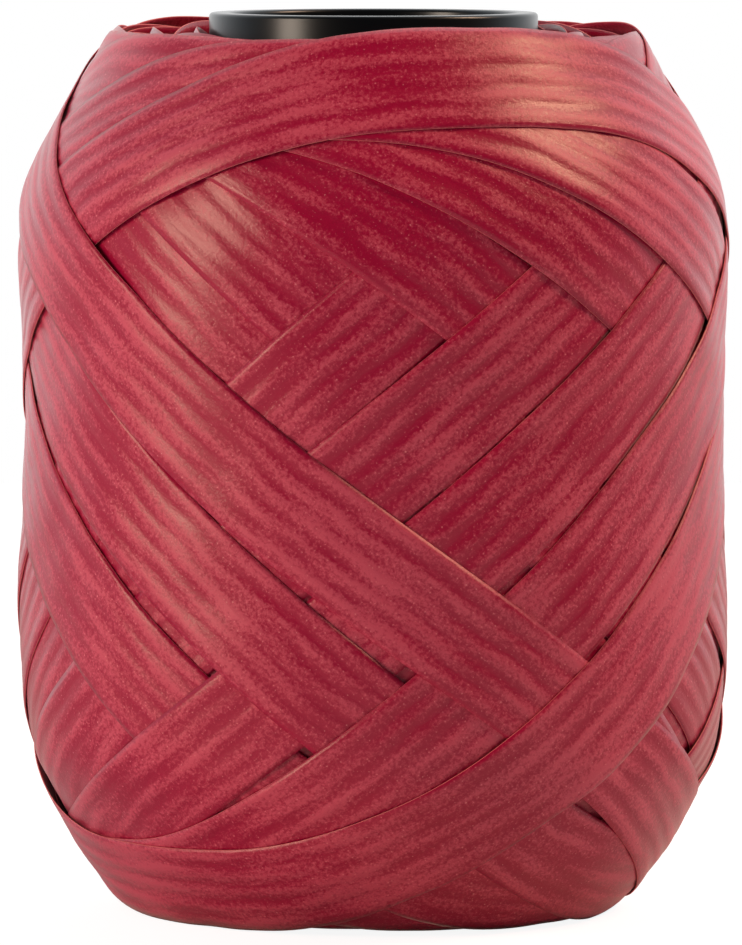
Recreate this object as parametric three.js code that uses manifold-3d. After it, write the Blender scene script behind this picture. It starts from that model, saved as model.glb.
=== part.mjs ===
// Ball of paper curling ribbon: 10 mm ribbon wound in slanting turns over a short black plastic tube.
// Millimetres, +Z up along the tube, the ball standing on its lower end at z = 0.
// The winding is one solid: its rounded barrel form, with each outer turn of the ribbon
// standing proud of it and crossing over or under its neighbours. The tube is open right through.

import * as THREE from 'three';
import { mergeVertices } from 'three/addons/utils/BufferGeometryUtils.js';
import Module from 'manifold-3d';

const wasm = await Module();
wasm.setup();

// Driving sizes
const ribbonWidth = 10;          // a standard curling ribbon
const turnRise = 0.3;            // how far one turn stands proud of the turn beneath it
const turnRoot = 1.2;            // depth to which a turn is rooted in the winding under the outer turns
const tubeHeight = 82;
const tubeRadius = 15;
const tubeWall = 2;
const partingGap = 0.3;          // between the winding and the tube
const windingTop = 81.3;
const middleZ = 41;              // the height at which each crossing's azimuth is given
const stationsPerHalf = 15;      // steps along the ribbon from a turn to the middle height
const roundSegments = 72;

// Outline of the outermost turns, from the lower end to the upper one
const outline = [
  { z: 0.4, r: 20.4 },
  { z: 1.4, r: 23.4 },
  { z: 5.5, r: 26.9 },
  { z: 10.0, r: 29.2 },
  { z: 14.2, r: 31.4 },
  { z: 17.5, r: 32.1 },
  { z: 23.0, r: 32.4 },
  { z: 29.0, r: 32.4 },
  { z: 41.0, r: 32.1 },
  { z: 53.0, r: 32.2 },
  { z: 61.0, r: 32.2 },
  { z: 65.5, r: 31.7 },
  { z: 69.2, r: 30.5 },
  { z: 73.8, r: 28.1 },
  { z: 78.2, r: 25.4 },
  { z: 80.6, r: 23.4 },
  { z: 81.0, r: 22.0 },
];

// The ribbon's outer turns in winding order, as two closed rounds. Each row is one turn: crossing is
// where the ribbon crosses the middle height on its way there, azimuth and z are the turn's own middle,
// and spread is the degrees over which it bends from level to its full slope. Azimuths are in degrees
// from the front, towards +X. The first turn is at the bottom, the second at the top, and so on.
// A turn of a higher layer lies over one of a lower layer.
const rounds = [
  [
    { crossing: 143, azimuth: 232, z: 3.65, layer: 9, spread: 40 },
    { crossing: 357, azimuth: 115, z: 76.8, layer: 11, spread: 40 },
    { crossing: 233, azimuth: 352, z: 3.65, layer: 2, spread: 40 },
    { crossing: 110, azimuth: 226, z: 76.8, layer: 18, spread: 37 },
    { crossing: 342, azimuth: 124, z: 3.65, layer: 18, spread: 54 },
    { crossing: 204, azimuth: 302, z: 76.8, layer: 12, spread: 75 },
    { crossing: 87.5, azimuth: 197, z: 3.65, layer: 7, spread: 40 },
    { crossing: 308, azimuth: 65, z: 76.8, layer: 2, spread: 40 },
    { crossing: 181, azimuth: 296, z: 3.65, layer: 16, spread: 44 },
    { crossing: 54, azimuth: 170, z: 76.8, layer: 16, spread: 38 },
    { crossing: 284, azimuth: 40, z: 3.65, layer: 10, spread: 40 },
    { crossing: 156.5, azimuth: 270.5, z: 76.8, layer: 4, spread: 43 },
    { crossing: 23.5, azimuth: 146, z: 3.65, layer: 4, spread: 40 },
    { crossing: 239.5, azimuth: 21.5, z: 76.8, layer: 17, spread: 56 },
  ],
  [
    { crossing: 123, azimuth: 224, z: 3.65, layer: 6, spread: 40 },
    { crossing: 331, azimuth: 81, z: 76.8, layer: 6, spread: 40 },
    { crossing: 191, azimuth: 315.5, z: 3.65, layer: 19, spread: 59 },
    { crossing: 80.5, azimuth: 197, z: 76.8, layer: 15, spread: 42 },
    { crossing: 313.5, azimuth: 76, z: 3.65, layer: 15, spread: 44 },
    { crossing: 178, azimuth: 287, z: 76.8, layer: 8, spread: 55 },
    { crossing: 54.5, azimuth: 177, z: 3.65, layer: 8, spread: 40 },
    { crossing: 286, azimuth: 42, z: 76.8, layer: 1, spread: 40 },
    { crossing: 157, azimuth: 254, z: 3.65, layer: 13, spread: 52 },
    { crossing: 26, azimuth: 143, z: 76.8, layer: 13, spread: 41 },
    { crossing: 258.5, azimuth: 16, z: 3.65, layer: 5, spread: 40 },
    { crossing: 134, azimuth: 248, z: 76.8, layer: 3, spread: 40 },
    { crossing: 2, azimuth: 107, z: 3.65, layer: 3, spread: 40 },
    { crossing: 213, azimuth: 321, z: 75.5, layer: 14, spread: 42 },
  ],
];

const degree = Math.PI / 180;

// The outline as a smooth curve, read by the height above the floor or by the distance along it
const outlineCurve = new THREE.CatmullRomCurve3(
  outline.map(({ z, r }) => new THREE.Vector3(r, 0, z)),
  false,
  'centripetal',
);
outlineCurve.arcLengthDivisions = 600;
const outlineLength = outlineCurve.getLength();

// Distance along the outline at which it reaches a height
function alongAtHeight(z) {
  let low = 0;
  let high = 1;
  for (let halving = 0; halving < 30; halving += 1) {
    const half = (low + high) / 2;
    if (outlineCurve.getPointAt(half).z < z) {
      low = half;
    } else {
      high = half;
    }
  }
  return low * outlineLength;
}

const middle = alongAtHeight(middleZ);

// Radius, height and outward direction of the outline at a distance along it
function outlineAt(along) {
  const share = THREE.MathUtils.clamp(along / outlineLength, 0, 1);
  const point = outlineCurve.getPointAt(share);
  const tangent = outlineCurve.getTangentAt(share);
  return { r: point.x, z: point.z, outR: tangent.z, outZ: -tangent.x };
}

// A point on the winding, lifted off its outline
function onWinding(along, azimuth, lift) {
  const { r, z, outR, outZ } = outlineAt(along);
  const radius = r + outR * lift;
  const height = Math.max(z + outZ * lift, 0);
  return [radius * Math.sin(azimuth * degree), -radius * Math.cos(azimuth * degree), height];
}

// How far the ribbon has moved from a turn's level towards the middle height, at each station.
// Its slope grows from nothing at the turn to full over the turn's spread.
function shiftFromTurn(span, total, spread) {
  const fine = 40;
  const step = span / (stationsPerHalf * fine);
  const shifts = [0];
  let sum = 0;
  for (let index = 1; index <= stationsPerHalf * fine; index += 1) {
    const angle = (index - 0.5) * step;
    sum += 1 - Math.exp(-((angle / spread) ** 2));
    if (index % fine === 0) {
      shifts.push(sum);
    }
  }
  return shifts.map((shift) => (shift / sum) * total);
}

// Stations of half a turn, from its own middle to the middle height
function halfTurn(turnAzimuth, crossingAzimuth, turnAlong, spread) {
  const span = Math.abs(crossingAzimuth - turnAzimuth);
  const shifts = shiftFromTurn(span, middle - turnAlong, spread);
  return shifts.map((shift, index) => ({
    azimuth: THREE.MathUtils.lerp(turnAzimuth, crossingAzimuth, index / stationsPerHalf),
    along: turnAlong + shift,
  }));
}

// Degrees from one azimuth on to another, going towards +X from the front
function degreesOn(from, to) {
  return THREE.MathUtils.euclideanModulo(to - from, 360);
}

// One round of the ribbon. Its azimuths grow from turn to turn, so that no two neighbours jump by 360.
function roundStations(rows) {
  const stations = [];
  let start = rows[0].crossing;
  rows.forEach(({ azimuth, z, spread }, index) => {
    const level = alongAtHeight(z);
    const nextCrossing = rows[(index + 1) % rows.length].crossing;
    const turn = start + degreesOn(start, azimuth);
    const end = turn + degreesOn(turn, nextCrossing);
    const toTurn = halfTurn(turn, start, level, spread).reverse();
    const fromTurn = halfTurn(turn, end, level, spread);
    stations.push(...toTurn.slice(0, -1), ...fromTurn.slice(0, -1));
    start = end;
  });
  const gained = start - rows[0].crossing;
  setAcross(stations, gained);
  return [...stations, { ...stations[0], azimuth: stations[0].azimuth + gained }];
}

// Direction across the ribbon at each station, as millimetres along the outline and degrees around it
function setAcross(stations, gained) {
  const count = stations.length;
  stations.forEach((station, index) => {
    const before = stations[(index + count - 1) % count];
    const after = stations[(index + 1) % count];
    const wraps = index === 0 || index === count - 1 ? gained : 0;
    const { r } = outlineAt(station.along);
    const run = (after.azimuth - before.azimuth + wraps) * degree * r;
    const climb = after.along - before.along;
    const length = Math.hypot(run, climb);
    station.acrossAlong = run / length;
    station.acrossAzimuth = -climb / length / r / degree;
  });
}

// The turns, each from one crossing of the middle height to the next
const turns = rounds.flatMap((rows) => {
  const stations = roundStations(rows);
  const perTurn = 2 * stationsPerHalf;
  return rows.map(({ layer }, index) => {
    const own = stations.slice(index * perTurn, (index + 1) * perTurn + 1);
    return { layer, rows, stations: own, lifts: [] };
  });
});

// A place on the ribbon at a distance to one side of its middle line
function besideLine(station, side) {
  return {
    along: station.along + station.acrossAlong * side,
    azimuth: station.azimuth + station.acrossAzimuth * side,
  };
}

// The heights of the turns laid so far, on a grid of cells over the whole outline
const cellAlong = 1;
const cellAzimuth = 2;
const cellsAround = 360 / cellAzimuth;
const cellsAlong = Math.ceil(outlineLength / cellAlong) + 1;
const laid = new Float32Array(cellsAround * cellsAlong);

function cellOf({ along, azimuth }) {
  const row = THREE.MathUtils.clamp(Math.round(along / cellAlong), 0, cellsAlong - 1);
  const column = Math.floor(THREE.MathUtils.euclideanModulo(azimuth, 360) / cellAzimuth) % cellsAround;
  return row * cellsAround + column;
}

// Cells under the ribbon from one station to the next
function cellsUnder(station, nextStation) {
  const cells = new Set();
  for (let side = -4.5; side <= 4.5; side += 0.75) {
    for (let part = 0; part <= 1; part += 0.25) {
      const here = besideLine(station, side);
      const there = besideLine(nextStation, side);
      cells.add(cellOf({
        along: THREE.MathUtils.lerp(here.along, there.along, part),
        azimuth: THREE.MathUtils.lerp(here.azimuth, there.azimuth, part),
      }));
    }
  }
  return cells;
}

// Evens a row of heights, so that the ribbon ramps on to what it crosses
function evened(heights) {
  return heights.map((height, index) => {
    const before = heights[Math.max(index - 1, 0)];
    const after = heights[Math.min(index + 1, heights.length - 1)];
    return (before + 2 * height + after) / 4;
  });
}

// Lays the turns layer by layer, each resting on the highest turn under it
const layers = [...new Set(turns.map(({ layer }) => layer))].sort((a, b) => a - b);
for (const layer of layers) {
  const resting = turns.filter((turn) => turn.layer === layer);
  for (const turn of resting) {
    const tops = turn.stations.map((station, index) => {
      const beside = turn.stations[Math.min(index + 1, turn.stations.length - 1)];
      return Math.max(...[...cellsUnder(station, beside)].map((cell) => laid[cell]));
    });
    turn.lifts = evened(tops).map((top) => top + turnRise);
  }
  for (const { stations, lifts } of resting) {
    for (let index = 0; index + 1 < stations.length; index += 1) {
      const lift = Math.max(lifts[index], lifts[index + 1]);
      for (const cell of cellsUnder(stations[index], stations[index + 1])) {
        laid[cell] = Math.max(laid[cell], lift);
      }
    }
  }
}

// Two turns that meet at the middle height come to one height there
const easedStations = 6;
turns.forEach((turn, index) => {
  const follows = turns[index + 1]?.rows === turn.rows;
  const next = follows ? turns[index + 1] : turns.find(({ rows }) => rows === turn.rows);
  const last = turn.lifts.length - 1;
  const shared = (turn.lifts[last] + next.lifts[0]) / 2;
  const endShift = shared - turn.lifts[last];
  const startShift = shared - next.lifts[0];
  for (let step = 0; step < easedStations; step += 1) {
    const share = 1 - step / easedStations;
    turn.lifts[last - step] += endShift * share;
    next.lifts[step] += startShift * share;
  }
});

// The mean height of the winding around each row of cells, which the outline stands for
const meanLift = Array.from({ length: cellsAlong }, (_, row) => {
  const around = laid.subarray(row * cellsAround, (row + 1) * cellsAround);
  return around.reduce((sum, height) => sum + height, 0) / cellsAround;
});
function meanLiftAt(along) {
  const reach = 6;
  const row = Math.round(along / cellAlong);
  const rows = meanLift.slice(Math.max(row - reach, 0), Math.min(row + reach, cellsAlong) + 1);
  return rows.reduce((sum, height) => sum + height, 0) / rows.length;
}

// A closed solid from a grid of rings, each a closed loop of the same number of points
function solidFromRings(rings) {
  const count = rings[0].length;
  const vertices = new Float32Array(rings.flat(2));
  const triangles = [];
  for (let ring = 0; ring + 1 < rings.length; ring += 1) {
    for (let index = 0; index < count; index += 1) {
      const a = ring * count + index;
      const b = ring * count + ((index + 1) % count);
      triangles.push(a, a + count, b, b, a + count, b + count);
    }
  }
  const lastRing = (rings.length - 1) * count;
  for (let index = 1; index + 1 < count; index += 1) {
    triangles.push(0, index, index + 1);
    triangles.push(lastRing, lastRing + index + 1, lastRing + index);
  }
  const mesh = new wasm.Mesh({ numProp: 3, vertProperties: vertices, triVerts: new Uint32Array(triangles) });
  return new wasm.Manifold(mesh);
}

// One turn of the ribbon: its face in two flats, its edges, and a root in the winding
function turnSolid({ stations, lifts }) {
  const half = ribbonWidth / 2;
  const rings = stations.map((station, index) => {
    const formLift = -meanLiftAt(station.along);
    const corner = (side, lift) => {
      const { along, azimuth } = besideLine(station, side);
      return onWinding(along, azimuth, formLift + lift);
    };
    return [
      corner(-half, lifts[index]),
      corner(0, lifts[index]),
      corner(half, lifts[index]),
      corner(half, -turnRoot),
      corner(-half, -turnRoot),
    ];
  });
  return solidFromRings(rings);
}

// A lathe solid from an outline that closes on itself
function latheSolid(points) {
  const closed = [...points, points[0]].map(([r, z]) => new THREE.Vector2(r, z));
  const geometry = new THREE.LatheGeometry(closed, roundSegments);
  geometry.rotateX(Math.PI / 2);
  geometry.deleteAttribute('normal');
  geometry.deleteAttribute('uv');
  const merged = mergeVertices(geometry, 1e-4);
  const mesh = new wasm.Mesh({
    numProp: 3,
    vertProperties: new Float32Array(merged.attributes.position.array),
    triVerts: new Uint32Array(merged.index.array),
  });
  return new wasm.Manifold(mesh);
}

// The winding under its outer turns, with a level ring at each end and the hole for the tube
function windingForm() {
  const holeRadius = tubeRadius + partingGap;
  const formStep = 3;
  const points = [[holeRadius, 0], [outline[0].r - 0.6, 0]];
  for (let along = formStep / 2; along < outlineLength - 1; along += formStep) {
    const { r, z, outR, outZ } = outlineAt(along);
    const depth = meanLiftAt(along);
    points.push([r - outR * depth, Math.min(Math.max(z - outZ * depth, 0.2), windingTop - 0.2)]);
  }
  points.push([outline[outline.length - 1].r - 1.2, windingTop]);
  points.push([holeRadius, windingTop]);
  return latheSolid(points);
}

function geometryOf(solid) {
  const mesh = solid.getMesh();
  const geometry = new THREE.BufferGeometry();
  geometry.setAttribute('position', new THREE.BufferAttribute(mesh.vertProperties, 3));
  geometry.setIndex(new THREE.BufferAttribute(mesh.triVerts, 1));
  geometry.computeVertexNormals();
  return geometry;
}

// The wound ribbon, in matt red paper
function ribbonBall() {
  const joined = wasm.Manifold.union([windingForm(), ...turns.map(turnSolid)]);
  // Small hollows shut in between crossing turns are left solid
  const solid = joined.decompose().reduce((best, shell) => (shell.volume() > best.volume() ? shell : best));
  const material = new THREE.MeshStandardMaterial({ color: '#a93246', roughness: 0.75, metalness: 0 });
  const mesh = new THREE.Mesh(geometryOf(solid), material);
  mesh.name = 'ribbon_ball';
  return mesh;
}

// The tube that the ribbon is wound on, in glossy black plastic
function coreTube() {
  const inner = tubeRadius - tubeWall;
  const solid = latheSolid([[inner, 0], [tubeRadius, 0], [tubeRadius, tubeHeight], [inner, tubeHeight]]);
  const material = new THREE.MeshStandardMaterial({ color: '#15171a', roughness: 0.2, metalness: 0 });
  const mesh = new THREE.Mesh(geometryOf(solid), material);
  mesh.name = 'core_tube';
  return mesh;
}

const ball = new THREE.Group();
ball.add(ribbonBall());
ball.add(coreTube());

export default ball;
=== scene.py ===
# Ball of paper curling ribbon on its winding tube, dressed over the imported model.
# Tables and shapes are in millimetres, and each piece's mesh is scaled to metres at its end.
# Azimuths are in degrees from the front of the ball, towards +X.

import bmesh
import bpy
import numpy as np
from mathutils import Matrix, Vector


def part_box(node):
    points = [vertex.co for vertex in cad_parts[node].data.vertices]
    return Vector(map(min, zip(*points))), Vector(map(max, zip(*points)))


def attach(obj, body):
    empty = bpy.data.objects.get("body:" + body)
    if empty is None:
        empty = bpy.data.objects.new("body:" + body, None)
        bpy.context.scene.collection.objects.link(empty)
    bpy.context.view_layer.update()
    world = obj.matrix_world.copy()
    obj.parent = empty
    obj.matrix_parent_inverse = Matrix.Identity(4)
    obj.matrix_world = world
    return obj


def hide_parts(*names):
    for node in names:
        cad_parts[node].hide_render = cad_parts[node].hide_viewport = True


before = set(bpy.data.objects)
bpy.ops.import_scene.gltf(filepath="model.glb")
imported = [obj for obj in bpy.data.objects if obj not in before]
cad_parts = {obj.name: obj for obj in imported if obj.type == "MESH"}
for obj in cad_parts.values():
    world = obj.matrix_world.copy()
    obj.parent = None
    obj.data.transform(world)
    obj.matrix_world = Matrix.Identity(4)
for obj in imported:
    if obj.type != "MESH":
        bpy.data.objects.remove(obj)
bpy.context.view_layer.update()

MM = 0.001

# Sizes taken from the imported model
_, winding_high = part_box("ribbon_ball")
_, tube_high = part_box("core_tube")
WINDING_TOP = winding_high.z / MM
TUBE_HEIGHT = tube_high.z / MM
TUBE_RADIUS = tube_high.x / MM

# The ribbon: coated crepe paper, ribbed lengthwise
RIBBON_WIDTH = 10.0
RIBBON_THICKNESS = 0.1
RIBS = 5                  # soft ribs side by side across the ribbon
RIB_HEIGHT = 0.04
RIB_FLATS = 4             # flats to draw one rib with
RIB_FULLNESS = 0.8        # below 1, a rib is fuller than a parabola and its creases are narrower
TURN_GAP = 0.03           # air between one turn and the turn beneath it
CROSS_STIFFNESS = 0.35    # share by which the ribbon stays straight across, against the form's curve
LENGTH_BEND = 60.0        # radius to which the ribbon bends lengthwise over a turn beneath it
CROSS_BEND = 25.0         # and across its width

# How the ribbon runs
MIDDLE_Z = 41.0           # the height at which each crossing's azimuth is given
STATION = 1.0             # step along the ribbon
LINE_EASE = 4.0           # length of ribbon over which its line is eased, to each side
LEG_POINTS = 241          # points from a crossing to a turn, before the stations are spaced evenly
SLOPE_POINTS = 400        # points with which the slope of such a leg is added up
FLOOR_CLEARANCE = 0.05    # least height over the floor
WELD = 0.001              # points nearer than this become one where a round closes

# How the turns are laid on one another
DRAPE_REACH = 10.0        # length of ribbon over which a bump beneath is felt, to each side
JOINT_FADE = 9.0          # length of ribbon over which two layers come to one height
HEIGHT_EASE = 2.0         # length of ribbon over which heights are evened, to each side
NOTHING = -9.0            # a height far beneath every turn, where nothing lies
LAY_FINE = (6, 3)         # cells looked up for each station and for each flat across
CROWN_SHARE = 0.4         # share of the way around where the turns lie below the outline

# How the outline and the crown, the height drawn on it, are evened
OUTLINE_STEP = 0.1        # distance between close points of the outline
OUTLINE_EASE = 61         # how many of them count towards each one
CROWN_EASE = 61           # how many cells along the outline count towards each one

# Painted shade from turn to turn: turns that lie deeper, under the outer ones, get less of the pale
# painted sheen in their colour, so they are darker
PAINTED_SHEEN_LAYER = 15          # the layer with the usual painted sheen
PAINTED_SHEEN_PER_LAYER = 0.025
PAINTED_SHEEN_LEAST = -0.35         # the least, as painted shade, on turns that the outer ones hide
PAINTED_SHEEN_FADE = 15.0         # length of ribbon over which it changes from turn to turn

# The ends of the inner turns. Further in means nearer to the middle height
LOOP_STEP = 138.0         # degrees from one loop to the next
LOOP_REACH = 78.0         # degrees to each side of its crest that a loop is drawn
LOOP_FALL = 8.0           # how far it falls on its way there
LOOP_LEAN = 26.0          # degrees by which the loops lean outwards
LOOP_SINK = 0.06          # how much further in a loop lies for each millimetre of radius
LOOP_TILT = 1.5           # how much further in the crests at the front lie than those at the back
LOOP_TURN_SCATTER = 7.0   # degrees by which a crest may be off, to each side
LOOP_SINK_SCATTER = 0.4   # how much further in a crest may lie
LOOP_WAVE = 0.07          # how far a loop's radius sways, to each side
LOOP_WAVES = 5            # how often it does so in a whole turn
LOOP_POINTS = 61          # points along a loop
LOOP_FLATS = 8            # flats across it
LOOP_PITCH = 0.3          # radius from one loop to the next
LOOP_FIRST = 15.6         # radius of the loop next to the tube
TOP_LOOPS_END = 21.0      # radius at which the loops end, at the top and at the bottom
BOTTOM_LOOPS_END = 18.6
TOP_LOOPS_RISE = 0.5      # how far the highest crest may stand above the solid's top
BOTTOM_LOOPS_Z = 0.2      # least height of a crest at the bottom

# The pieces that are spun around the tube's axis
PACKED_INSET = 0.5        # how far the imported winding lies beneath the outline
PACKED_MARGIN = 6.0       # how much of the outline it leaves out at each end
PACKED_STEP = 3.0
PACKED_GAP = 0.3          # air between it and the tube
TUBE_WALL = 2.0
TUBE_FILLET = 0.35

# Outline of the outermost turns: height and radius. It was laid by eye, and then corrected to
# half widths that a separate program measured on a photograph
OUTLINE = [
    (0.4, 20.4),
    (1.4, 23.4),
    (5.5, 26.9),
    (10.0, 29.2),
    (14.2, 31.4),
    (17.5, 32.1),
    (23.0, 32.4),
    (29.0, 32.4),
    (41.0, 32.1),
    (53.0, 32.2),
    (61.0, 32.2),
    (65.5, 31.7),
    (69.2, 30.5),
    (73.8, 28.1),
    (78.2, 25.4),
    (80.6, 23.4),
    (81.0, 22.0),
]

# The outer turns in winding order, as two closed rounds. Each row is the azimuth where the ribbon
# crosses the middle height, then the azimuth, the height, the layer and the spread of the turn that
# follows. The spread is the degrees over which the turn bends from level to its full slope. The
# ribbon falls at the first row, then rises and falls by turns. A higher layer lies over a lower one.
# Most of the azimuths and spreads aren't worked out here or measured by hand: a separate program
# fitted them to the ribbon's edges in a photograph, and they were rounded.
ROUNDS = [
    [
        (143, 232, 3.65, 9, 40),
        (357, 115, 76.8, 11, 40),
        (233, 352, 3.65, 2, 40),
        (110, 226, 76.8, 18, 37),
        (342, 124, 3.65, 18, 54),
        (204, 316, 76.1, 12, 54),
        (87.5, 197, 3.65, 7, 40),
        (308, 65, 76.1, 2, 40),
        (181, 296, 3.65, 16, 44),
        (54, 170, 76.8, 16, 38),
        (284, 40, 3.65, 10, 40),
        (156.5, 270.5, 76.8, 4, 43),
        (23.5, 146, 3.65, 4, 40),
        (239.5, 21.5, 76.8, 17, 56),
    ],
    [
        (123, 224, 3.65, 6, 40),
        (331, 81, 76.1, 6, 40),
        (191, 315.5, 3.65, 19, 59),
        (80.5, 197, 76.8, 15, 42),
        (313.5, 76, 3.65, 15, 44),
        (178, 287, 76.2, 8, 55),
        (54.5, 177, 3.65, 8, 40),
        (286, 42, 76.1, 1, 40),
        (157, 254, 3.65, 13, 52),
        (26, 143, 76.8, 13, 41),
        (258.5, 16, 3.65, 5, 40),
        (134, 248, 76.8, 3, 40),
        (2, 107, 3.65, 3, 40),
        (213, 348, 75.9, 14, 42),
    ],
]


# The form that the ribbon lies on

def shares_of(window):
    return window / window.sum()


def rounded_outline():
    """The outline as close points, its corners eased, with the distance along it."""
    z, r = np.array(OUTLINE).T
    along = np.concatenate([[0], np.cumsum(np.hypot(np.diff(z), np.diff(r)))])
    even = np.arange(0, along[-1], OUTLINE_STEP)
    z = np.interp(even, along, z)
    r = np.interp(even, along, r)
    window = shares_of(np.hanning(OUTLINE_EASE))
    reach = len(window) // 2

    def eased(values):
        before = 2 * values[0] - values[reach:0:-1]
        after = 2 * values[-1] - values[-2:-reach - 2:-1]
        return np.convolve(np.concatenate([before, values, after]), window, "valid")

    return even, eased(z), eased(r)


ALONG, FORM_Z, FORM_R = rounded_outline()
FORM_LENGTH = ALONG[-1]
SLOPE_Z = np.gradient(FORM_Z, ALONG)
SLOPE_R = np.gradient(FORM_R, ALONG)
MIDDLE = np.interp(MIDDLE_Z, FORM_Z, ALONG)


def radius_at(along):
    return np.interp(along, ALONG, FORM_R)


def outward(along, azimuth):
    """Direction straight out of the form."""
    out_r = np.interp(along, ALONG, SLOPE_Z)
    out_z = -np.interp(along, ALONG, SLOPE_R)
    scale = np.hypot(out_r, out_z)
    angle = np.radians(azimuth)
    return np.stack([out_r * np.sin(angle), -out_r * np.cos(angle), out_z], -1) / scale[..., None]


def on_form(along, azimuth, lift):
    """Points at a lift off the form."""
    r = radius_at(along)
    z = np.interp(along, ALONG, FORM_Z)
    angle = np.radians(azimuth)
    foot = np.stack([r * np.sin(angle), -r * np.cos(angle), z], -1)
    return foot + outward(along, azimuth) * lift[..., None]


# The line of the ribbon

def half_turn(crossing, turn, turn_along, spread):
    """The way from a crossing of the middle height to a turn: azimuths and distances along the
    outline."""
    azimuth = np.linspace(crossing, turn, LEG_POINTS)
    from_turn = np.abs(azimuth - turn)
    fine = np.linspace(0, from_turn[0], SLOPE_POINTS)
    slope = 1 - np.exp(-(fine / spread) ** 2)
    shift = np.concatenate([[0], np.cumsum((slope[1:] + slope[:-1]) / 2)])
    along = turn_along + (MIDDLE - turn_along) * np.interp(from_turn, fine, shift) / shift[-1]
    return azimuth, along


def eased_round(values, closing, reach):
    """Evens values around a closed round. closing is what they gain in one whole round."""
    window = shares_of(np.hanning(2 * reach + 3)[1:-1])
    padded = np.concatenate([values[-reach:] - closing, values, values[:reach] + closing])
    return np.convolve(padded, window, "valid")


class Round:
    """A closed round of the ribbon, with a station every millimetre or so."""

    def __init__(self, rows, twist=0.0, layer_shift=0.0, station=STATION, flats=RIBS * RIB_FLATS):
        crossings = [rows[0][0] + twist]
        for row in rows[1:] + rows[:1]:
            crossings.append(crossings[-1] + (row[0] + twist - crossings[-1]) % 360)
        azimuths, alongs, turns = [], [], []
        for index, (_, turn, height, _, spread) in enumerate(rows):
            level = np.interp(height, FORM_Z, ALONG)
            turn = crossings[index] + (turn + twist - crossings[index]) % 360
            azimuth, along = half_turn(crossings[index], turn, level, spread)
            onward, back = half_turn(crossings[index + 1], turn, level, spread)
            azimuths += [azimuth[:-1], onward[:0:-1]]
            alongs += [along[:-1], back[:0:-1]]
            turns.append(np.full(2 * len(azimuth) - 2, index))
        azimuth = np.concatenate(azimuths + [crossings[-1:]])
        along = np.concatenate(alongs + [alongs[0][:1]])
        turn = np.concatenate(turns + [[len(rows)]])
        around = np.radians(np.diff(azimuth)) * radius_at((along[1:] + along[:-1]) / 2)
        length = np.concatenate([[0], np.cumsum(np.hypot(np.diff(along), around))])
        count = int(length[-1] / station)
        even = np.linspace(0, length[-1], count, endpoint=False)
        reach = int(LINE_EASE / station)
        self.length = length[-1]
        self.station = length[-1] / count
        self.closing = crossings[-1] - crossings[0]
        self.azimuth = eased_round(np.interp(even, length, azimuth), self.closing, reach)
        self.along = eased_round(np.interp(even, length, along), 0, reach)
        self.turn = turn[np.searchsorted(length, even, side="right") - 1]
        self.layer = np.array([row[3] + layer_shift for row in rows])[self.turn]
        # Painted shade: turns that lie deeper get less of the pale painted sheen, the outer ones a
        # little more
        tone_and_sheen_level = np.clip((self.layer - PAINTED_SHEEN_LAYER) * PAINTED_SHEEN_PER_LAYER, PAINTED_SHEEN_LEAST, None)
        self.tone_and_sheen_level = eased_round(tone_and_sheen_level, 0, int(PAINTED_SHEEN_FADE / station))
        run = np.radians(self.steps(self.azimuth, self.closing)) * radius_at(self.along)
        climb = self.steps(self.along, 0)
        size = np.hypot(run, climb)
        self.side = np.linspace(-RIBBON_WIDTH / 2, RIBBON_WIDTH / 2, flats + 1)
        across_azimuth = -np.degrees(climb / size / radius_at(self.along))
        self.alongs = self.along[:, None] + (run / size)[:, None] * self.side
        self.azimuths = self.azimuth[:, None] + across_azimuth[:, None] * self.side
        foot = on_form(self.alongs, self.azimuths, np.zeros(self.alongs.shape))
        bulge = foot[:, flats // 2] - (foot[:, 0] + foot[:, -1]) / 2
        bulge = (bulge * outward(self.along, self.azimuth)).sum(-1)
        edge_stand = eased_round(np.clip(bulge, 0, None), 0, reach) * CROSS_STIFFNESS
        self.stand = edge_stand[:, None] * (self.side / (RIBBON_WIDTH / 2)) ** 2
        self.height = np.zeros(self.alongs.shape)

    @staticmethod
    def steps(values, closing):
        after = np.append(values[1:], values[0] + closing)
        before = np.append(values[-1] - closing, values[:-1])
        return after - before


# Laying the turns: a grid of cells holds the height of what has been laid so far

CELL_ALONG = 0.25
CELL_AZIMUTH = 0.5
GRID = (int(FORM_LENGTH / CELL_ALONG) + 2, int(360 / CELL_AZIMUTH))


def cells_at(along, azimuth):
    row = np.clip(np.rint(along / CELL_ALONG).astype(int), 0, GRID[0] - 1)
    column = np.floor((azimuth % 360) / CELL_AZIMUTH).astype(int) % GRID[1]
    return row, column


def shifted(heights, offset):
    """Moves heights across the ribbon, with nothing coming in from outside it."""
    moved = np.full(heights.shape, NOTHING)
    if offset > 0:
        moved[:, offset:] = heights[:, :-offset]
    elif offset < 0:
        moved[:, :offset] = heights[:, -offset:]
    else:
        moved = heights
    return moved


def draped(heights, turns):
    """The heights of a taut ribbon over bumps: it leaves each bump on a wide bend, both ways."""
    reach = int(DRAPE_REACH / turns.station)
    best = heights
    for offset in range(-reach, reach + 1):
        drop = (offset * turns.station) ** 2 / (2 * LENGTH_BEND)
        best = np.maximum(best, np.roll(heights, offset, 0) - drop)
    lengthwise = best
    flat = turns.side[1] - turns.side[0]
    for offset in range(1 - len(turns.side), len(turns.side)):
        drop = (offset * flat) ** 2 / (2 * CROSS_BEND)
        best = np.maximum(best, shifted(lengthwise, offset) - drop)
    return best


def evened(heights, reach):
    """Evens heights a little along the ribbon and across it."""
    window = shares_of(np.hanning(2 * reach + 3)[1:-1])
    along = sum(np.roll(heights, step - reach, 0) * share for step, share in enumerate(window))
    padded = np.pad(along, ((0, 0), (1, 1)), "edge")
    return (padded[:, :-2] + 2 * padded[:, 1:-1] + padded[:, 2:]) / 4


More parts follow.
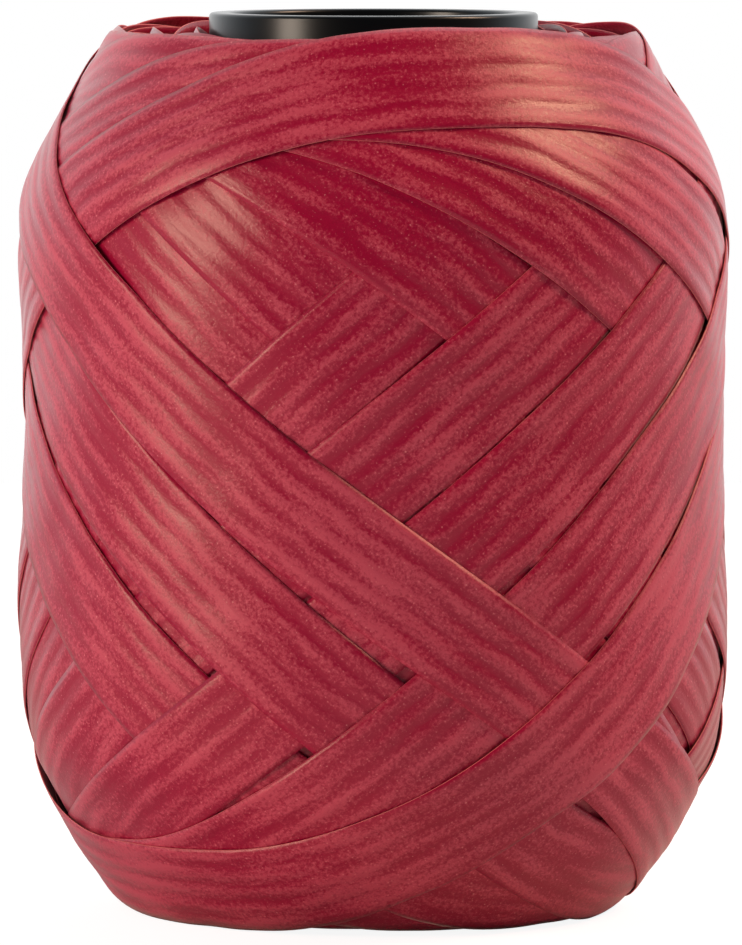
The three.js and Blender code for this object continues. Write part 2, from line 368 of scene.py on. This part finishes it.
def between(values, closing, fine_along, fine_across):
    """Values on a finer net than the ribbon's own stations and sides."""
    stations = np.vstack([values, values[:1] + closing])
    at = np.linspace(0, len(values), len(values) * fine_along, endpoint=False)
    low = np.floor(at).astype(int)
    share = (at - low)[:, None]
    rows = stations[low] * (1 - share) + stations[low + 1] * share
    at = np.linspace(0, values.shape[1] - 1, (values.shape[1] - 1) * fine_across + 1)
    low = np.minimum(np.floor(at).astype(int), values.shape[1] - 2)
    share = at - low
    return rows[:, low] * (1 - share) + rows[:, low + 1] * share


def lay(rounds):
    """Gives every turn its height off the form, layer by layer from the lowest."""
    laid = np.zeros(GRID)
    for layer in sorted({value for turns in rounds for value in turns.layer}):
        resting = [turns for turns in rounds if (turns.layer == layer).any()]
        for turns in resting:
            here = (turns.layer == layer)[:, None]
            beneath = laid[cells_at(turns.alongs, turns.azimuths)] - turns.stand
            beneath = np.where(here, beneath, NOTHING)
            settled = draped(beneath, turns) + turns.stand
            rise = RIBBON_THICKNESS + RIB_HEIGHT + TURN_GAP
            turns.height = np.where(here, settled + rise, turns.height)
        for turns in resting:
            here = np.repeat(turns.layer == layer, LAY_FINE[0])
            along = between(turns.alongs, 0, *LAY_FINE)
            cells = cells_at(along, between(turns.azimuths, turns.closing, *LAY_FINE))
            height = between(turns.height, 0, *LAY_FINE)
            np.maximum.at(laid, (cells[0][here], cells[1][here]), height[here])
    for turns in rounds:
        join_layers(turns)
        turns.height = evened(turns.height, int(HEIGHT_EASE / turns.station))
    return laid


def join_layers(turns):
    """Brings two turns of different layers to one height where they meet at the middle height."""
    reach = int(JOINT_FADE / turns.station)
    fade = np.cos(np.linspace(0, np.pi / 2, reach, endpoint=False)) ** 2
    count = len(turns.height)
    for joint in np.flatnonzero(turns.turn != np.roll(turns.turn, 1)):
        jump = turns.height[joint] - turns.height[joint - 1]
        turns.height[(joint + np.arange(reach)) % count] -= jump / 2 * fade[:, None]
        turns.height[(joint - 1 - np.arange(reach)) % count] += jump / 2 * fade[:, None]


def crown_height(laid):
    """The height that is drawn on the outline, at each distance along it and evened. Part of the
    way around the turns lie below it, and elsewhere they stand out."""
    rows = np.quantile(laid, CROWN_SHARE, axis=1)
    window = shares_of(np.hanning(CROWN_EASE))
    reach = len(window) // 2
    padded = np.concatenate([np.full(reach, rows[0]), rows, np.full(reach, rows[-1])])
    return np.convolve(padded, window, "valid")


# Pieces

def piece_from(bm, name, materials):
    """Ends a piece: its mesh in metres, smooth, riding on the part's one body."""
    bmesh.ops.scale(bm, vec=Vector((MM, MM, MM)), verts=bm.verts)
    mesh = bpy.data.meshes.new(name)
    for face in bm.faces:
        face.smooth = True
    bm.to_mesh(mesh)
    bm.free()
    for material in materials:
        mesh.materials.append(material)
    piece = bpy.data.objects.new(name, mesh)
    bpy.context.scene.collection.objects.link(piece)
    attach(piece, "root")
    return piece


def add_strip(bm, places, length, tone_and_sheen_level):
    """Adds a ribbon from a grid: places holds a row of points across it for each station, and
    the last argument how far the pale painted sheen differs there from the usual, which paints shade
    on turns that lie deeper."""
    stations, flats = places.shape[0] - 1, places.shape[1] - 1
    uv = bm.loops.layers.uv.verify()
    painted_sheen_by_depth = bm.verts.layers.float.get("painted_sheen_by_depth") or bm.verts.layers.float.new("painted_sheen_by_depth")
    grid = bmesh.ops.create_grid(bm, x_segments=stations, y_segments=flats, size=1, calc_uvs=True)
    for vertex in grid["verts"]:
        station = round((vertex.co.x + 1) / 2 * stations)
        flat = round((vertex.co.y + 1) / 2 * flats)
        for loop in vertex.link_loops:
            loop[uv].uv.x *= length / RIBBON_WIDTH
        vertex.co = places[station, flat]
        vertex[painted_sheen_by_depth] = tone_and_sheen_level[station]


def ribbon_piece(bm, name, materials):
    """Ends a piece of ribbon: the paper gets its thickness, and its slit edges their own material."""
    bm.normal_update()
    piece = piece_from(bm, name, materials)
    paper = piece.modifiers.new("paper", "SOLIDIFY")
    paper.thickness = RIBBON_THICKNESS * MM
    paper.offset = -1
    paper.material_offset_rim = 1
    return piece


def rib_height(side):
    """The ribbon's surface across its width: soft ribs with narrow creases between them."""
    share = (side / RIBBON_WIDTH + 0.5) * RIBS
    within = share - np.floor(share)
    return RIB_HEIGHT * (4 * within * (1 - within)) ** RIB_FULLNESS


def ribbon_round(name, turns, crown, materials):
    """One closed round of the ribbon as a piece."""
    height = turns.height - np.interp(turns.alongs, *crown) - RIB_HEIGHT + rib_height(turns.side)
    places = on_form(turns.alongs, turns.azimuths, height)
    places[..., 2] = np.maximum(places[..., 2], FLOOR_CLEARANCE)
    bm = bmesh.new()
    tone_and_sheen_level = np.append(turns.tone_and_sheen_level, turns.tone_and_sheen_level[0])
    add_strip(bm, np.concatenate([places, places[:1]]), turns.length, tone_and_sheen_level)
    ends = [vertex for vertex in bm.verts if vertex.is_boundary]
    bmesh.ops.remove_doubles(bm, verts=ends, dist=WELD)
    return ribbon_piece(bm, name, materials)


def inner_loops(name, edge_z, radii, materials):
    """The ends of the inner turns between the tube and the outer turns. Each loop lies on a cone
    around the tube, and falls away to both sides of its crest. At the top the cones open
    downwards, at the bottom upwards. Some loops cross below their rims."""
    towards = -1 if edge_z > MIDDLE_Z else 1
    scatter = np.random.default_rng(7)
    bm = bmesh.new()
    for number, radius in enumerate(radii):
        crest = number * LOOP_STEP + scatter.uniform(-LOOP_TURN_SCATTER, LOOP_TURN_SCATTER)
        sunk = LOOP_SINK * (radius - radii[0]) + LOOP_TILT * (1 + np.cos(np.radians(crest))) / 2
        height = edge_z + towards * (scatter.uniform(0.0, LOOP_SINK_SCATTER) + sunk)
        from_crest = np.linspace(-LOOP_REACH, LOOP_REACH, LOOP_POINTS)
        fall = LOOP_FALL * (1 - np.cos(np.radians(from_crest * 90 / LOOP_REACH)))
        wave = LOOP_WAVE * np.sin(np.radians(from_crest * LOOP_WAVES + scatter.uniform(0, 360)))
        side = np.linspace(0, RIBBON_WIDTH, LOOP_FLATS + 1)
        if towards < 0:
            side = side[::-1]
        drop = fall[:, None] + side * np.cos(np.radians(LOOP_LEAN))
        r = radius + wave[:, None] + drop * np.tan(np.radians(LOOP_LEAN))
        angle = np.radians(crest + from_crest)[:, None]
        places = np.stack([r * np.sin(angle), -r * np.cos(angle), height + towards * drop], -1)
        # The inner loops get the least painted sheen, as painted shade
        tone_and_sheen_level = np.full(len(places), PAINTED_SHEEN_LEAST)
        add_strip(bm, places, np.radians(2 * LOOP_REACH) * radius, tone_and_sheen_level)
    ribbon_piece(bm, name, materials)


# Materials

def linear(code):
    """A linear colour from an sRGB hex code."""
    shares = [int(code[i:i + 2], 16) / 255 for i in (1, 3, 5)]
    return [s / 12.92 if s <= 0.04045 else ((s + 0.055) / 1.055) ** 2.4 for s in shares] + [1.0]


def add_node(tree, kind, settings=None, links=None):
    """Adds a node with its settings, socket values and links."""
    node = tree.nodes.new(kind)
    for key, value in (settings or {}).items():
        if isinstance(key, str) and hasattr(node, key):
            setattr(node, key, value)
        else:
            node.inputs[key].default_value = value
    for socket, source in (links or {}).items():
        tree.links.new(source, node.inputs[socket])
    return node


def blank_material(name):
    material = bpy.data.materials.new(name)
    material.use_nodes = True
    material.node_tree.nodes.clear()
    return material, material.node_tree


def summed(tree, terms, start):
    """Adds up values, each times its own share, on top of a start value."""
    total = None
    for value, share in terms:
        links = {0: value} if total is None else {0: value, 2: total}
        settings = {"operation": "MULTIPLY_ADD", 1: share}
        if total is None:
            settings[2] = start
        total = add_node(tree, "ShaderNodeMath", settings, links).outputs["Value"]
    return total


def crepe_paper_with_painted_sheen(name, deep, pale_sheen_colour, speck, roughness):
    """Dyed crepe paper with a satin coat. The coat's sheen is painted into the colour as a pale dusty
    tone, with a painted highlight on the rib crowns and painted shade in the creases; wavy streaks
    along the ribbon, where the deep dye shows, vary it at random.
    Paper fibre breaks both up into a fine grain, and stray fibres stand out as pale specks."""
    material, tree = blank_material(name)
    uv = add_node(tree, "ShaderNodeUVMap").outputs["UV"]
    # UV units are ribbon widths along and across, so a feature of s mm has scale width / s
    drawn_out = add_node(tree, "ShaderNodeMapping", {"Scale": (0.18, 1.0, 1.0)}, {"Vector": uv})
    sway = add_node(
        tree, "ShaderNodeTexNoise", {"Scale": RIBBON_WIDTH / 7.0, "Detail": 1.0}, {"Vector": uv})
    streaks = add_node(
        tree, "ShaderNodeTexNoise",
        {"Scale": RIBBON_WIDTH / 1.5, "Detail": 3.0, "Roughness": 0.55},
        {"Vector": drawn_out.outputs["Vector"]})
    patches = add_node(
        tree, "ShaderNodeTexNoise", {"Scale": RIBBON_WIDTH / 13.0, "Detail": 1.0}, {"Vector": uv})
    grain = add_node(
        tree, "ShaderNodeTexNoise",
        {"Scale": RIBBON_WIDTH / 0.4, "Detail": 3.0, "Roughness": 0.75}, {"Vector": uv})
    # Painted shade: deeper turns carry a lower value here, so less of the pale painted sheen
    shift = add_node(tree, "ShaderNodeAttribute", {"attribute_name": "painted_sheen_by_depth"})
    across = add_node(tree, "ShaderNodeSeparateXYZ", {}, {"Vector": uv}).outputs["Y"]
    swayed = summed(tree, [(sway.outputs["Fac"], 0.16), (across, 1.0)], 0.0)
    turned = add_node(
        tree, "ShaderNodeMath", {"operation": "MULTIPLY", 1: 2 * np.pi * RIBS}, {0: swayed})
    rib = add_node(tree, "ShaderNodeMath", {"operation": "COSINE"}, {0: turned.outputs["Value"]})
    # Level of the pale painted sheen: the rib term paints a highlight on the rib crowns and shade in
    # the creases, the attribute paints shade on turns that lie deeper, and the streaks, grain and
    # patches vary it at random
    tone_and_sheen_level = summed(
        tree,
        [(rib.outputs["Value"], 0.22), (streaks.outputs["Fac"], 2.3), (grain.outputs["Fac"], 3.2),
         (patches.outputs["Fac"], 1.3), (shift.outputs["Fac"], 1.0)],
        -3.0)
    tone_and_sheen = add_node(
        tree, "ShaderNodeMapRange",
        {"interpolation_type": "SMOOTHSTEP", "From Min": -0.05, "From Max": 1.05}, {"Value": tone_and_sheen_level})
    # The deep dye mixed with the pale painted sheen
    colour = add_node(
        tree, "ShaderNodeMix", {"data_type": "RGBA", 6: linear(deep), 7: linear(pale_sheen_colour)},
        {"Factor": tone_and_sheen.outputs["Result"]})
    fibres = add_node(
        tree, "ShaderNodeTexNoise",
        {"Scale": RIBBON_WIDTH / 0.2, "Detail": 0.0}, {"Vector": uv})
    stray = add_node(
        tree, "ShaderNodeMapRange", {"From Min": 0.73, "From Max": 0.87, "To Max": 0.45},
        {"Value": fibres.outputs["Fac"]})
    flecked = add_node(
        tree, "ShaderNodeMix", {"data_type": "RGBA", 7: linear(speck)},
        {"Factor": stray.outputs["Result"], 6: colour.outputs[2]})
    relief = summed(
        tree,
        [(rib.outputs["Value"], 0.4), (streaks.outputs["Fac"], 1.3), (grain.outputs["Fac"], 0.5)],
        0.0)
    bump = add_node(
        tree, "ShaderNodeBump", {"Strength": 0.6, "Distance": 0.0001}, {"Height": relief})
    rough = add_node(
        tree, "ShaderNodeMapRange",
        {"To Min": roughness - 0.05, "To Max": roughness + 0.1}, {"Value": tone_and_sheen.outputs["Result"]})
    surface = add_node(
        tree, "ShaderNodeBsdfPrincipled",
        {"Sheen Weight": 0.22, "Sheen Roughness": 0.3, "IOR": 1.5},
        {"Base Color": flecked.outputs[2], "Roughness": rough.outputs["Result"],
         "Normal": bump.outputs["Normal"]})
    add_node(tree, "ShaderNodeOutputMaterial", {}, {"Surface": surface.outputs["BSDF"]})
    return material


def slit_paper_edge():
    """The slit edge of the ribbon, a thin pale pink line: partly the paper's paler heart, partly a
    painted highlight where the edges catch the light.
    """
    material, tree = blank_material("slit_paper_edge")
    surface = add_node(tree, "ShaderNodeBsdfPrincipled", {"Roughness": 0.8})
    surface.inputs["Base Color"].default_value = linear("#dc7f86")
    add_node(tree, "ShaderNodeOutputMaterial", {}, {"Surface": surface.outputs["BSDF"]})
    return material


def moulded_black_plastic():
    """Injection-moulded black polystyrene: glossy, with faint waviness in its reflections."""
    material, tree = blank_material("moulded_black_polystyrene")
    place = add_node(tree, "ShaderNodeTexCoord")
    waviness = add_node(
        tree, "ShaderNodeTexNoise", {"Scale": 1 / (7 * MM), "Detail": 1.0},
        {"Vector": place.outputs["Object"]})
    bump = add_node(
        tree, "ShaderNodeBump", {"Strength": 0.12, "Distance": 0.0004},
        {"Height": waviness.outputs["Fac"]})
    surface = add_node(
        tree, "ShaderNodeBsdfPrincipled",
        {"Roughness": 0.28, "IOR": 1.47, "Specular Tint": (0.72, 0.88, 1.0, 1.0)},
        {"Normal": bump.outputs["Normal"]})
    surface.inputs["Base Color"].default_value = linear("#080b0f")
    add_node(tree, "ShaderNodeOutputMaterial", {}, {"Surface": surface.outputs["BSDF"]})
    return material


crimson_paper = crepe_paper_with_painted_sheen(
    "crepe_paper_crimson_painted_sheen", deep="#a2003e", pale_sheen_colour="#c94c6a", speck="#e8a4ae", roughness=0.36)
paper_edge = slit_paper_edge()
black_plastic = moulded_black_plastic()
RIBBON_MATERIALS = [crimson_paper, paper_edge]


# The winding

outer_rounds = [Round(rows) for rows in ROUNDS]
under_rounds = [Round(rows, twist=13.0, layer_shift=-30, station=1.5, flats=10) for rows in ROUNDS]
laid = lay(under_rounds + outer_rounds)
CROWN = (np.arange(GRID[0]) * CELL_ALONG, crown_height(laid))

for number, turns in enumerate(outer_rounds, 1):
    outer = ribbon_round(f"ribbon_outer_round_{number}", turns, CROWN, RIBBON_MATERIALS)
    if number == 1:
        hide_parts("ribbon_ball")
for number, turns in enumerate(under_rounds, 1):
    ribbon_round(f"ribbon_under_round_{number}", turns, CROWN, RIBBON_MATERIALS)

top_radii = np.arange(LOOP_FIRST, TOP_LOOPS_END, LOOP_PITCH)
bottom_radii = np.arange(LOOP_FIRST, BOTTOM_LOOPS_END, LOOP_PITCH)
inner_loops("inner_loops_top", WINDING_TOP + TOP_LOOPS_RISE, top_radii, RIBBON_MATERIALS)
inner_loops("inner_loops_bottom", BOTTOM_LOOPS_Z, bottom_radii, RIBBON_MATERIALS)


def spun(bm, profile, segments):
    """Spins a profile of radius and height around the tube's axis. Blender's spin lists the faces
    in an order that differs from run to run, while their places stay the same."""
    vertices = [bm.verts.new((r, 0, z)) for r, z in profile]
    edges = [bm.edges.new((a, b)) for a, b in zip(vertices, vertices[1:] + vertices[:1])]
    bmesh.ops.spin(
        bm, geom=vertices + edges, cent=(0, 0, 0), axis=(0, 0, 1),
        angle=2 * np.pi, steps=segments, use_merge=True)
    bmesh.ops.recalc_face_normals(bm, faces=bm.faces)


def inner_winding():
    """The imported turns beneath, seen only as a dark floor between the ribbons."""
    steps = np.arange(PACKED_MARGIN, FORM_LENGTH - PACKED_MARGIN, PACKED_STEP)
    depth = np.interp(steps, *CROWN) + PACKED_INSET
    out = on_form(steps, np.full(len(steps), 90.0), -depth)
    profile = [(float(x), float(z)) for x, _, z in out]
    inner = TUBE_RADIUS + PACKED_GAP
    profile = [(inner, profile[0][1])] + profile + [(inner, profile[-1][1])]
    bm = bmesh.new()
    spun(bm, profile, segments=96)
    piece_from(bm, "packed_inner_winding", [crimson_paper])


inner_winding()


def winding_tube():
    """The tube, open right through, with its four rims rounded."""
    inner = TUBE_RADIUS - TUBE_WALL
    section = [(inner, 0), (TUBE_RADIUS, 0), (TUBE_RADIUS, TUBE_HEIGHT), (inner, TUBE_HEIGHT)]
    bm = bmesh.new()
    spun(bm, section, segments=128)
    rims = [edge for edge in bm.edges
            if abs(edge.verts[0].co.z - edge.verts[1].co.z) < 0.01
            and abs(edge.verts[0].co.xy.length - edge.verts[1].co.xy.length) < 0.01]
    bmesh.ops.bevel(
        bm, geom=rims, offset=TUBE_FILLET, segments=3, profile=0.5, affect="EDGES", material=-1)
    piece = piece_from(bm, "winding_tube", [black_plastic])
    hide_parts("core_tube")


winding_tube()


# Floor, light and camera

def stage_floor():
    """A white board. For the camera alone it is lit up to the white of the room behind it."""
    bm = bmesh.new()
    bmesh.ops.create_circle(bm, cap_ends=True, segments=96, radius=0.5)
    mesh = bpy.data.meshes.new("floor")
    bm.to_mesh(mesh)
    bm.free()
    material, tree = blank_material("matt_white_board")
    board = add_node(tree, "ShaderNodeBsdfDiffuse", {"Color": (0.7, 0.7, 0.7, 1.0)})
    lit = add_node(tree, "ShaderNodeEmission", {"Strength": 1.5})
    seen = add_node(tree, "ShaderNodeLightPath").outputs["Is Camera Ray"]
    share = add_node(tree, "ShaderNodeMath", {"operation": "MULTIPLY", 1: 0.6}, {0: seen})
    mixed = add_node(
        tree, "ShaderNodeMixShader", {},
        {0: share.outputs["Value"], 1: board.outputs["BSDF"], 2: lit.outputs["Emission"]})
    add_node(tree, "ShaderNodeOutputMaterial", {}, {"Surface": mixed.outputs["Shader"]})
    mesh.materials.append(material)
    floor = bpy.data.objects.new("floor", mesh)
    bpy.context.scene.collection.objects.link(floor)


def softbox(name, direction, distance, width, height, watts, colour):
    """An area light that faces the middle of the ball."""
    light = bpy.data.lights.new(name, "AREA")
    light.shape = "RECTANGLE"
    light.size = width
    light.size_y = height
    light.energy = watts
    light.color = linear(colour)[:3]
    lamp = bpy.data.objects.new(name, light)
    middle = Vector((0, 0, MIDDLE_Z * MM))
    lamp.location = middle + Vector(direction).normalized() * distance
    lamp.rotation_euler = (middle - lamp.location).to_track_quat("-Z", "Y").to_euler()
    lamp.visible_camera = False
    bpy.context.scene.collection.objects.link(lamp)


def studio():
    """A white room, bright behind the ball and dim in front of it, with a key light on each side."""
    world = bpy.data.worlds.new("white_room")
    world.use_nodes = True
    tree = world.node_tree
    tree.nodes.clear()
    direction = add_node(tree, "ShaderNodeTexCoord").outputs["Generated"]
    depth = add_node(tree, "ShaderNodeSeparateXYZ", {}, {"Vector": direction}).outputs["Y"]
    strength = add_node(
        tree, "ShaderNodeMapRange",
        {"interpolation_type": "SMOOTHSTEP", "From Min": -0.35, "From Max": 1.0,
         "To Min": 0.05, "To Max": 1.4},
        {"Value": depth})
    room = add_node(
        tree, "ShaderNodeBackground", {"Color": (1.0, 1.0, 1.0, 1.0)},
        {"Strength": strength.outputs["Result"]})
    white = add_node(tree, "ShaderNodeBackground", {"Color": (1.0, 1.0, 1.0, 1.0), "Strength": 1.0})
    seen = add_node(tree, "ShaderNodeLightPath").outputs["Is Camera Ray"]
    mixed = add_node(
        tree, "ShaderNodeMixShader", {},
        {0: seen, 1: room.outputs["Background"], 2: white.outputs["Background"]})
    add_node(tree, "ShaderNodeOutputWorld", {}, {"Surface": mixed.outputs["Shader"]})
    bpy.context.scene.world = world
    softbox(
        "left_softbox", direction=(-0.84, -0.48, 0.28), distance=0.6, width=0.16, height=0.3,
        watts=2.2, colour="#ffd8bc")
    softbox(
        "right_softbox", direction=(0.70, -0.04, 0.72), distance=0.6, width=0.14, height=0.24,
        watts=2.45, colour="#ffc8a2")


def photograph_camera():
    """A long lens from a little above, aimed at the middle of the ball. The distance and the
    elevation are estimates."""
    distance = 0.8
    elevation = np.radians(4.4)
    aim = Vector((-0.00023, 0, 0.0399))
    camera = bpy.data.cameras.new("camera")
    camera.lens = 332.8
    camera.sensor_width = 36
    camera.clip_start = 0.01
    camera.clip_end = 50
    holder = bpy.data.objects.new("camera", camera)
    holder.location = aim + Vector((0, -np.cos(elevation), np.sin(elevation))) * distance
    holder.rotation_euler = (aim - holder.location).to_track_quat("-Z", "Y").to_euler()
    bpy.context.scene.collection.objects.link(holder)
    bpy.context.scene.camera = holder


stage_floor()
studio()
photograph_camera()
bpy.context.scene.view_settings.view_transform = "Standard"
